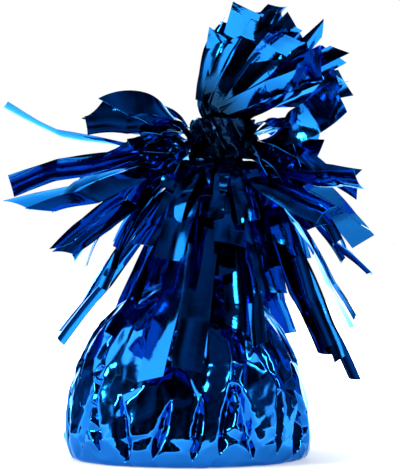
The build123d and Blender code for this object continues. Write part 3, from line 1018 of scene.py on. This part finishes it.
TUFT_BETWEEN = [
    (26, Strip(266, 80, 84, 64, twist=-14, cut=30, layer=1, width=5.0)),
    (32, Strip(294, 84, 80, 66, twist=20, cut=-36, layer=0, width=5.0)),
    (44, Strip(292, 80, 84, 74, twist=-24, cut=40, layer=0, width=4.2)),
    (52, Strip(282, 84, 78, 82, twist=16, cut=-40, layer=1, width=4.2)),
    (56, Strip(322, 80, 84, 70, twist=30, cut=36, layer=0, width=4.6)),
    (62, Strip(284, 82, 80, 86, twist=-18, cut=44, layer=1, width=4.0)),
    (66, Strip(318, 84, 80, 80, twist=26, cut=-30, layer=1, width=4.4)),
    (18, Strip(226, 82, 84, 46, twist=30, cut=-20, layer=0, width=5.5)),
    (40, Strip(240, 84, 82, 60, twist=-30, cut=30, layer=2, width=4.4)),
    (50, Strip(110, 82, 80, 72, twist=30, cut=-24, layer=1, width=5.0)),
    (34, Strip(110, 80, 82, 62, twist=-20, cut=20, layer=1, width=5.0)),
    (60, Strip(80, 80, 82, 78, twist=-40, cut=34, layer=1, width=4.6)),
    (48, Strip(150, 84, 80, 60, twist=20, cut=-30, layer=1, width=5.0)),
    (24, Strip(214, 68, 96, 66, twist=8, cut=14, layer=3, width=6.0)),
    (28, Strip(236, 67, 104, 76, twist=-8, cut=-16, layer=3, width=6.5)),
    (33, Strip(257, 66, 100, 76, twist=8, cut=24, layer=3, width=6.0)),
    (40, Strip(276, 66, 108, 74, twist=-10, cut=-30, layer=3, width=6.0)),
    (48, Strip(294, 66, 98, 78, twist=10, cut=34, layer=3, width=5.5)),
    (56, Strip(310, 67, 106, 76, twist=-12, cut=-38, layer=3, width=5.5)),
    (44, Strip(328, 68, 98, 68, twist=12, cut=30, layer=3, width=5.5)),
    (58, Strip(268, 68, 104, 66, twist=-14, cut=40, layer=3, width=5.0)),
    (64, Strip(284, 67, 98, 70, twist=14, cut=-44, layer=3, width=5.0)),
    (36, Strip(180, 68, 82, 62, twist=-10, cut=20, layer=3, width=6.0)),
    (36, Strip(146, 68, 82, 66, twist=12, cut=-18, layer=3, width=6.0)),
    (42, Strip(112, 67, 82, 70, twist=-8, cut=26, layer=3, width=6.0)),
    (48, Strip(84, 67, 82, 70, twist=10, cut=-26, layer=3, width=6.0)),
    (56, Strip(56, 68, 82, 72, twist=-10, cut=22, layer=3, width=6.0)),
]
print("plan:", sum(len(strips) for strips in FRINGE.values()) + len(TUFT), "strips")

# %% [markdown]
# ## From plan to routes
# A route is a line of points down the middle of a strip, with the direction of the strip's width at
# each point. The slope changes evenly along the strip, and the twist comes in over its first part.
# No single curve gives both, so a route is worked out by walking along it in small steps.

# %% Routes of the strips
UNIT = BASE_RADIUS / 100  # of the lengths in the plan
FRINGE_PACE = (UNIT, (BAND_BOTTOM - 0.8 * DOME_HEIGHT) / 125)  # a unit on the level, and upright
TUFT_PACE = (UNIT, UNIT)
TWIST_PACE = 1.6  # the twist is complete before the strip ends
ROUTE_STEPS = 48


def heading(strip, share, pace):
    """Advance for one unit of length, and the width direction, at a share of a strip's length."""
    bent = max(0.0, (share - strip.straight) / (1 - strip.straight))
    slope = math.radians(strip.leaves + (strip.ends - strip.leaves) * bent)
    turn = math.radians(strip.azimuth + strip.sweep * share)
    twist = math.radians(strip.twist * float(smooth(TWIST_PACE * share)))
    forward = pace[0] * math.cos(slope)
    along = Vector((forward * math.cos(turn), forward * math.sin(turn), pace[1] * math.sin(slope)))
    level = Vector((-math.sin(turn), math.cos(turn), 0.0))
    across = level * math.cos(twist) + along.normalized().cross(level) * math.sin(twist)
    return along, across


def route(strip, root, pace, placed):
    """Points, directions, width directions and runs down the middle of a strip."""
    place, run, stations = Vector(root), 0.0, []
    turned = placed.to_3x3()
    for step in range(ROUTE_STEPS + 1):
        along, across = heading(strip, step / ROUTE_STEPS, pace)
        stations.append((placed @ place, turned @ along.normalized(), turned @ across, run))
        advance = heading(strip, (step + 0.5) / ROUTE_STEPS, pace)[0] * (strip.length / ROUTE_STEPS)
        place, run = place + advance, run + advance.length
    return stations


# %% Roots on the band and on the knot
BOUND_LAYERS = 2  # these are bound in on the band, and the layers after them under its edge
BOUND_STEP = 2.2 * MM
LAYER_STEP = 0.6 * MM


def fringe_root(strip):
    """Root of a fringe strip: on the band, or stepping in and down under its edge."""
    under = strip.layer - BOUND_LAYERS
    if under < 0:
        radius = BAND_RADIUS + CLEARANCE
        height = BAND_BOTTOM - under * BOUND_STEP
    else:
        radius = BAND_RADIUS - under * LAYER_STEP
        height = BAND_BOTTOM - 2 * CLEARANCE - under * LAYER_STEP
    if strip.layer < 0:
        radius += 2 * CLEARANCE
    turn = math.radians(strip.azimuth)
    return (NECK_OFFSET + radius * math.cos(turn), radius * math.sin(turn), height)


def tuft_root(strip):
    """Root of a tuft strip on the knot, in that strip's own leaning frame."""
    angle = math.radians(TUFT_ROOT_ANGLES[strip.layer])
    turn = math.radians(strip.azimuth)
    reach = KNOT_RADIUS + CLEARANCE
    return (
        reach * math.sin(angle) * math.cos(turn),
        reach * math.sin(angle) * math.sin(turn),
        reach * math.cos(angle),
    )


bodies = {body: [] for body in ("left_fringe", "front_fringe", "right_fringe", "rear_fringe", "tuft")}
for plan in (FRINGE, BETWEEN):
    for group, strips in plan.items():
        for number, strip in enumerate(strips, 1):
            name = f"{group}_{number}" if plan is FRINGE else None
            stations = route(strip, fringe_root(strip), FRINGE_PACE, Matrix())
            bodies[group.split("_")[0] + "_fringe"].append((name, strip, stations))
on_knot = Matrix.Translation((NECK_OFFSET, 0.0, KNOT_HEIGHT))
for number, (lean, strip) in enumerate(TUFT + TUFT_BETWEEN, 1):
    name = f"tuft_strip_{number}" if number <= len(TUFT) else None
    leaning = on_knot @ Matrix.Rotation(math.radians(lean), 4, "Y")
    stations = route(strip, tuft_root(strip), TUFT_PACE, leaning)
    bodies["tuft"].append((name, strip, stations))
print("routes:", {body: len(strips) for body, strips in bodies.items()})

# %% [markdown]
# ## The strip tree
# A strip follows a path, so Geometry Nodes sweep it: the routes become curves, a straight line is
# swept along each, and the line's length opens from the gathered root to the full width. The
# curve's normals are set from the plan, which lays the twist in. Then the tree bends the flat
# ribbon as film bends: it cups a little across its width, kinks at a few folds, ripples slightly,
# turns up or down near its end, and its end is cut on a slant. All the strips of one body are one
# mesh.


# %% The tree that turns routes into strips of film
FREE_RUN = (0.08, 0.45)  # shares of the length between which a strip comes free of its bunched root
CUT_RUN = (0.75, 1.0)  # shares of the length between which the cut's slant comes in
CUP_LEVEL = 0.33  # the mean of side * side, so that a cupped strip stays on its route


def strip_tree():
    tree, given, identifiers = geometry_tree(
        "film strips",
        {
            "Stations": "Int",
            "Points Across": "Int",
            "Ripple Size": "Float",
            "Ripple Depth": "Float",
            "Kink Depth": "Float",
            "Seed": "Float",
            "Material": "Material",
        },
    )

    def carried(name, kind="FLOAT"):
        settings = {"data_type": kind}
        return tree.node("GeometryNodeInputNamedAttribute", settings, {"Name": name})["Attribute"]

    def carry(geometry, name, value, kind="FLOAT"):
        settings = {"data_type": kind, "domain": "POINT"}
        values = {"Geometry": geometry, "Name": name, "Value": value}
        return tree.node("GeometryNodeStoreNamedAttribute", settings, values)["Geometry"]

    def resampled(curve, count):
        return tree.node("GeometryNodeResampleCurve", None, {"Curve": curve, "Count": count})["Curve"]

    curve = tree.node("GeometryNodeMeshToCurve", None, {"Mesh": given["Geometry"]})["Curve"]
    curve = resampled(curve, given["Stations"])
    across, facing = (carried(name, "FLOAT_VECTOR") for name in ("across", "facing"))
    values = {"Curve": curve, "Normal": across}
    curve = tree.node("GeometryNodeSetCurveNormal", {"mode": "FREE"}, values)["Curve"]
    curve = carry(curve, "run", tree.node("GeometryNodeSplineParameter")["Factor"])
    curve = carry(curve, "along", tree.node("GeometryNodeInputTangent")["Tangent"], "FLOAT_VECTOR")
    ends = {"Start": (-1, 0, 0), "End": (1, 0, 0)}
    line = tree.node("GeometryNodeCurvePrimitiveLine", None, ends)["Curve"]
    line = resampled(line, given["Points Across"])
    place = tree.node("GeometryNodeInputPosition")["Position"]
    line = carry(line, "side", tree.node("ShaderNodeSeparateXYZ", None, {"Vector": place})["X"])
    half_width = carried("half_width")
    values = {"Curve": curve, "Profile Curve": line, "Scale": half_width}
    ribbon = tree.node("GeometryNodeCurveToMesh", None, values)["Mesh"]
    run, side, tone, cup = (carried(name) for name in ("run", "side", "tone", "cup"))
    # A zigzag of one to four slanting kinks, which starts somewhere else on each strip
    kinks = run * (1.5 + tone * 3.0) + tone * 7.0 + side * (tone - 0.5) * 0.8
    kink = kinks.math("PINGPONG", 1.0) - 0.5
    seed = given["Seed"] + tone * 10.0
    values = {"Vector": place, "W": seed, "Scale": 1 / given["Ripple Size"], "Detail": 1.0}
    ripple = tree.node("ShaderNodeTexNoise", {"noise_dimensions": "4D"}, values)["Fac"]
    lift = cup * half_width * (side * side - CUP_LEVEL)
    lift = lift + kink * given["Kink Depth"] + (ripple - 0.5) * given["Ripple Depth"]
    lift = lift + (run - carried("bend_from")).math("MAXIMUM", 0.0) * carried("bend")
    outward = tree.vector("SCALE", facing, scale=lift * tree.eased(run, *FREE_RUN))
    slant = tree.eased(run, *CUT_RUN) * side * half_width * carried("cut")
    ending = tree.vector("SCALE", carried("along", "FLOAT_VECTOR"), scale=slant)
    offset = tree.vector("ADD", outward, ending)
    values = {"Geometry": ribbon, "Offset": offset}
    ribbon = tree.node("GeometryNodeSetPosition", None, values)["Geometry"]
    finish_tree(tree, ribbon, given["Material"])
    return tree, identifiers


strip_maker, strip_inputs = strip_tree()
print("strip tree:", len(strip_maker.tree.nodes), "nodes")

# %% The strips of each body
ROOT_WIDTH = 3.6 * MM
FLARE_LENGTH = 15.0 * MM
CUP = 0.28  # the most that a strip cups, as a share of its half width
END_BENDS = (-0.4, -0.25, 0.0, 0.25, 0.4)  # slopes of the turned ends
BEND_FROM = (0.62, 0.85)  # shares of the length where they start
STEEP = -40.0  # strips that end steeper than this lie by the dome, so their ends turn away from it
STEEP_BEND = 0.6


def route_mesh(name, strips, seed):
    """The routes of some strips as lines of points that carry what the strip tree needs."""
    chance = np.random.default_rng(seed)
    points, edges, carried = [], [], {}
    for _, strip, stations in strips:
        tone = chance.uniform(0, 1)
        cup = strip.crease * chance.uniform(-CUP, CUP)
        bend = strip.crease * chance.choice(END_BENDS) * stations[-1][3]
        bend_from = chance.uniform(*BEND_FROM)
        if strip.ends < STEEP:
            tip, along, across, _ = stations[-1]
            away = along.cross(across).dot(Vector((tip.x, tip.y, 0.0)))
            bend = math.copysign(STEEP_BEND * bend, away)
        cut = math.tan(math.radians(strip.cut))
        steady = {"tone": tone, "cup": cup, "cut": cut, "bend": bend, "bend_from": bend_from}
        width = strip.width * MM
        root_width = min(ROOT_WIDTH, width)
        for step, (place, along, across, run) in enumerate(stations):
            if step:
                edges.append((len(points) - 1, len(points)))
            points.append(place)
            opening = float(smooth(run / FLARE_LENGTH))
            half_width = 0.5 * (root_width + (width - root_width) * opening)
            facing = tuple(along.cross(across))
            here = {"across": tuple(across), "facing": facing, "half_width": half_width}
            for label, value in (here | steady).items():
                carried.setdefault(label, []).append(value)
    mesh = bpy.data.meshes.new(name)
    mesh.from_pydata(points, edges, [])
    for label, values in carried.items():
        kind, field = "FLOAT", "value"
        if label in ("across", "facing"):
            kind, field = "FLOAT_VECTOR", "vector"
        attribute = mesh.attributes.new(label, kind, "POINT")
        attribute.data.foreach_set(field, np.array(values).ravel())
    return mesh


strip_values = {
    "Stations": 64,
    "Points Across": 9,
    "Ripple Size": 9 * MM,
    "Ripple Depth": 0.25 * MM,
    "Kink Depth": 0.4 * MM,
    "Material": strip_film,
}
STRIP_THICKNESS = 0.1 * MM
FIRST_SEED = 11
for seed, (body, strips) in enumerate(bodies.items(), FIRST_SEED):
    start = route_mesh(body + " routes", strips, seed)
    values = dict(strip_values, Seed=float(seed))
    piece = grown(body + "_strips", start, strip_maker, strip_inputs, values, STRIP_THICKNESS)
    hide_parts(*(name for name, _, _ in strips if name))
    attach(piece, body)

# %% [markdown]
# ## The hidden block and tie
# The cast block and the wire under the band keep their solid shapes, since their form is right as
# it is. They only need a finish: pitted grey cement, and drawn wire.


# %% Cement and wire
def cement_finish(dark=(0.40, 0.39, 0.36, 1), light=(0.62, 0.61, 0.57, 1)):
    """Cast cement: grainy, stained and pitted."""
    material, tree, place = new_finish("cast_cement")
    grain = tree.noise(place, 900.0, 4.0)["Fac"]
    stain = tree.noise(place, 70.0, 3.0)["Fac"]
    pits = tree.node("ShaderNodeTexVoronoi", None, {"Vector": place, "Scale": 380.0})["Distance"]
    pitted = tree.eased(pits, 0.12, 0.3)
    values = {
        "Base Color": tree.mix(stain * 0.7 + grain * 0.3, dark, light),
        "Roughness": 0.82 + grain * 0.15,
        "Normal": tree.bump(0.5, 0.4 * MM, pitted * 0.6 + grain * 0.4),
    }
    end_finish(tree, values)
    return material


def wire_finish(dull=(0.48, 0.48, 0.50, 1), bright=(0.72, 0.72, 0.73, 1)):
    """Drawn wire: bright metal with a fine grain."""
    material, tree, place = new_finish("tie_wire")
    drawn = tree.noise(place, 1500.0, 3.0)["Fac"]
    values = {
        "Base Color": tree.mix(drawn, dull, bright),
        "Metallic": 1.0,
        "Roughness": 0.22 + drawn * 0.2,
    }
    end_finish(tree, values)
    return material


for node, finish in (("ballast_block", cement_finish()), ("neck_tie", wire_finish())):
    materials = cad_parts[node].data.materials
    materials.clear()
    materials.append(finish)
print("cement on the block, wire on the tie")

# %% [markdown]
# ## Floor, light and camera
# Mirror film shows the room, so the room is the light: a white floor under the weight, a white
# backdrop behind it, a pale card at each side, a dark side towards the camera, and soft light. Two
# soft boxes are painted in the world, and the other lights are panels. The floor gives the light
# blue of the low facets, the dark side gives the navy, and the soft boxes and the panels give the
# white flashes.


# %% The floor
FLOOR_CORNERS = ((-0.5, -0.26), (0.5, -0.26), (1.5, 1.5), (-1.5, 1.5))
FLOOR_LEVEL = -0.05 * MM
PAINTED_SHADOW_RING = (0.032, 0.18)  # distances over which the painted shadow round the weight fades out, so the floor gets brighter away from it
PAINTED_SHADOW_GLOW = 0.35
OPEN_GLOW = 1.9


def grey(value):
    """A grey as a colour."""
    return (value, value, value, 1)


def floor_finish():
    """White paper that glows, less so near the weight, where its glow is dimmed as a painted shadow."""
    material, tree, place = new_finish("floor_white")
    paper = tree.noise(place, 400.0, 2.0)["Fac"]
    distance = tree.node("ShaderNodeVectorMath", {"operation": "LENGTH"}, {0: place})["Value"]
    painted_shadow_fade = tree.eased(distance, *PAINTED_SHADOW_RING)
    values = {
        "Base Color": tree.mix(paper, grey(0.90), grey(0.93)),
        "Roughness": 0.7,
        # painted shadow: the floor's glow is lower near the weight
        "Emission Color": tree.mix(painted_shadow_fade, grey(PAINTED_SHADOW_GLOW), grey(OPEN_GLOW)),
        "Emission Strength": 1.0,
    }
    end_finish(tree, values)
    return material


floor_mesh = bpy.data.meshes.new("floor")
floor_mesh.from_pydata([(x, y, FLOOR_LEVEL) for x, y in FLOOR_CORNERS], [], [(0, 1, 2, 3)])
floor_mesh.materials.append(floor_finish())
floor = bpy.data.objects.new("floor", floor_mesh)
bpy.context.scene.collection.objects.link(floor)
print("floor:", len(FLOOR_CORNERS), "corners")

# %% The room
SOFT_BOXES = (
    # the direction, and the cosines where it is full and where it ends
    ((-0.82, 0.07, 0.57), 0.985, 0.94),
    ((0.68, -0.40, 0.61), 0.992, 0.972),
)
ROOM_LIGHT = 3.4
DIM_COLOUR = (0.05, 0.55, 1.0)  # the dark side is a deep blue

world = bpy.data.worlds.new("studio")
bpy.context.scene.world = world
world.use_nodes = True
room = Tree(world.node_tree)
direction = room.node("ShaderNodeTexCoord")["Generated"]
heading_to = room.node("ShaderNodeSeparateXYZ", None, {"Vector": direction})
backdrop = room.eased(heading_to["Y"], 0.82, 0.97)
left_card = room.eased(heading_to["X"], -0.96, -0.90, low=0.7, high=0.0)
right_card = room.eased(heading_to["X"], 0.95, 0.985, low=0.0, high=0.6)
lit = backdrop + left_card + right_card
for aim, full, edge in SOFT_BOXES:
    values = {0: direction, 1: aim}
    towards = room.node("ShaderNodeVectorMath", {"operation": "DOT_PRODUCT"}, values)["Value"]
    lit = lit + room.eased(towards, edge, full)
lit = lit.math("MINIMUM", 1.0) * ROOM_LIGHT
shapes = room.noise(direction, 2.3, 1.0)["Fac"]
dim = room.eased(heading_to["Y"], -0.9, 0.3, low=0.2, high=1.0)
dim = dim * room.eased(shapes, 0.38, 0.68, low=0.02, high=0.55)
channels = {place: lit + dim * share for place, share in enumerate(DIM_COLOUR)}
tone = room.node("ShaderNodeCombineColor", None, channels)["Color"]
surroundings = room.node("ShaderNodeBackground", None, {"Color": tone, "Strength": 1.0})["Background"]
white = room.node("ShaderNodeBackground", None, {"Color": grey(1.0), "Strength": 1.0})["Background"]
seen = room.node("ShaderNodeLightPath")["Is Camera Ray"]
sky = room.node("ShaderNodeMixShader", None, {0: seen, 1: surroundings, 2: white})["Shader"]
room.node("ShaderNodeOutputWorld", None, {"Surface": sky})
print("room:", len(room.tree.nodes), "nodes")

# %% Panels and camera
CAMERA_PLACE = (3.08 * MM, -0.62, 0.059)
CAMERA_LENS = 176.4


def panel(name, place, aim, size, power):
    """A soft oval panel of light that faces a point."""
    light = bpy.data.lights.new(name, "AREA")
    light.shape = "ELLIPSE"
    light.size, light.size_y = size
    light.energy = power
    lamp = bpy.data.objects.new(name, light)
    lamp.location = place
    lamp.rotation_euler = (Vector(aim) - Vector(place)).to_track_quat("-Z", "Y").to_euler()
    bpy.context.scene.collection.objects.link(lamp)
    return lamp


centre = (0.0, 0.0, 0.05)
panel("left panel", (-0.60, -0.45, 0.35), centre, (0.10, 0.30), 4.5)
panel("right panel", (0.62, -0.40, 0.30), centre, (0.08, 0.30), 2.0)
panel("high front panel", (0.12, -0.60, 0.50), centre, (0.12, 0.06), 0.3)
overhead = panel("overhead panel", (0.0, 0.10, 0.95), centre, (0.7, 0.5), 9.0)
overhead.visible_glossy = False

camera_data = bpy.data.cameras.new("camera")
camera = bpy.data.objects.new("camera", camera_data)
camera.location = CAMERA_PLACE
camera.rotation_euler = (math.radians(90), 0.0, 0.0)
camera_data.sensor_width = 36.0
camera_data.lens = CAMERA_LENS
camera_data.clip_end = 20.0
bpy.context.scene.collection.objects.link(camera)
bpy.context.scene.camera = camera
bpy.context.scene.view_settings.view_transform = "Standard"
print("camera at", tuple(round(value, 4) for value in camera.location))

# %% Finish
bpy.context.view_layer.update()
